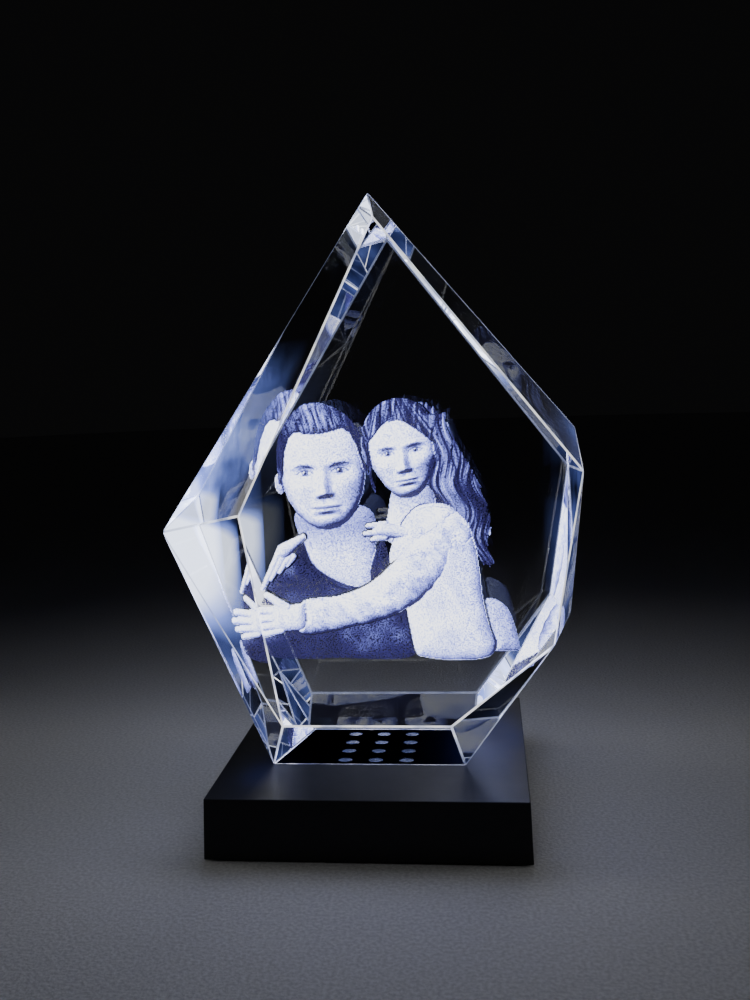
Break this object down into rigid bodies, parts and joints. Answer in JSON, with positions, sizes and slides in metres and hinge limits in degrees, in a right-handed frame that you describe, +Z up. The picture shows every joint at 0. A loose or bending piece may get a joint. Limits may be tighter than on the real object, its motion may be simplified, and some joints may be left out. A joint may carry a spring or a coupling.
{
  "type": "crystal award",
  "caption": "Faceted clear crystal block with an engraved portrait inside, standing on a square black lighted base with a battery bay, a switch and a power inlet.",
  "frame": {"origin": "centre of the square base, on the surface that its feet stand on", "axes": "+Z up, +X to the right seen from the front, +Y from the crystal's front face to its back face"},
  "size_m": [0.1428, 0.1021, 0.2035],
  "materials": {
    "crystal_glass": "polished optical glass, engraved inside",
    "case_black": "satin black, fine mould texture",
    "case_underside": "matt black, spark texture",
    "foot_rubber": "matt",
    "screw_steel": "zinc plated",
    "cell_sleeve": "printed sleeve, plain",
    "contact_metal": "nickel plated",
    "board_green": "solder mask",
    "socket_metal": "stamped steel",
    "socket_black": "matt",
    "knob_black": "satin",
    "led_chip": "white body, yellow phosphor",
    "led_lens": "clear plug, slightly frosted",
    "resistor_black": "ceramic, tinned ends",
    "chip_black": "moulded epoxy",
    "wire_red": "insulation",
    "wire_black": "insulation"
  },
  "bodies": {
    "base": {"top_cover": "case_black", "bottom_plate": "case_underside", "foot_front_left": "foot_rubber", "foot_back_left": "foot_rubber", "foot_front_right": "foot_rubber", "foot_back_right": "foot_rubber", "case_screws": "screw_steel", "cell_1": "cell_sleeve", "cell_2": "cell_sleeve", "cell_3": "cell_sleeve", "contact_positive": "contact_metal", "contact_bridge_left": "contact_metal", "contact_bridge_right": "contact_metal", "contact_negative": "contact_metal", "power_board": "board_green", "led_board": "board_green", "power_board_screws": "screw_steel", "board_screws": "screw_steel", "power_socket": "socket_metal", "socket_tongue": "socket_black", "switch_body": "socket_metal", "led_chip_1_1": "led_chip", "led_lens_1_1": "led_lens", "led_chip_1_2": "led_chip", "led_lens_1_2": "led_lens", "led_chip_1_3": "led_chip", "led_lens_1_3": "led_lens", "led_chip_2_1": "led_chip", "led_lens_2_1": "led_lens", "led_chip_2_2": "led_chip", "led_lens_2_2": "led_lens", "led_chip_2_3": "led_chip", "led_lens_2_3": "led_lens", "led_chip_3_1": "led_chip", "led_lens_3_1": "led_lens", "led_chip_3_2": "led_chip", "led_lens_3_2": "led_lens", "led_chip_3_3": "led_chip", "led_lens_3_3": "led_lens", "led_chip_4_1": "led_chip", "led_lens_4_1": "led_lens", "led_chip_4_2": "led_chip", "led_lens_4_2": "led_lens", "led_chip_4_3": "led_chip", "led_lens_4_3": "led_lens", "resistor_1": "resistor_black", "resistor_2": "resistor_black", "resistor_3": "resistor_black", "driver_chip": "chip_black", "wire_battery_plus": "wire_red", "wire_lamp_plus": "wire_red", "wire_battery_minus": "wire_black", "wire_lamp_minus": "wire_black"},
    "crystal_block": {"crystal": "crystal_glass"},
    "door": {"battery_door": "case_underside"},
    "switch": {"switch_knob": "knob_black"}
  },
  "joints": [
    {"name": "crystal_lift", "type": "slide", "parent": "base", "child": "crystal_block", "axis": [0, 0, 1], "range_m": [0, 0.04]},
    {"name": "switch_slide", "type": "slide", "parent": "base", "child": "switch", "axis": [1, 0, 0], "range_m": [0, 0.003]},
    {"name": "door_slide", "type": "slide", "parent": "base", "child": "door", "axis": [0, 1, 0], "range_m": [0, 0.045]}
  ]
}
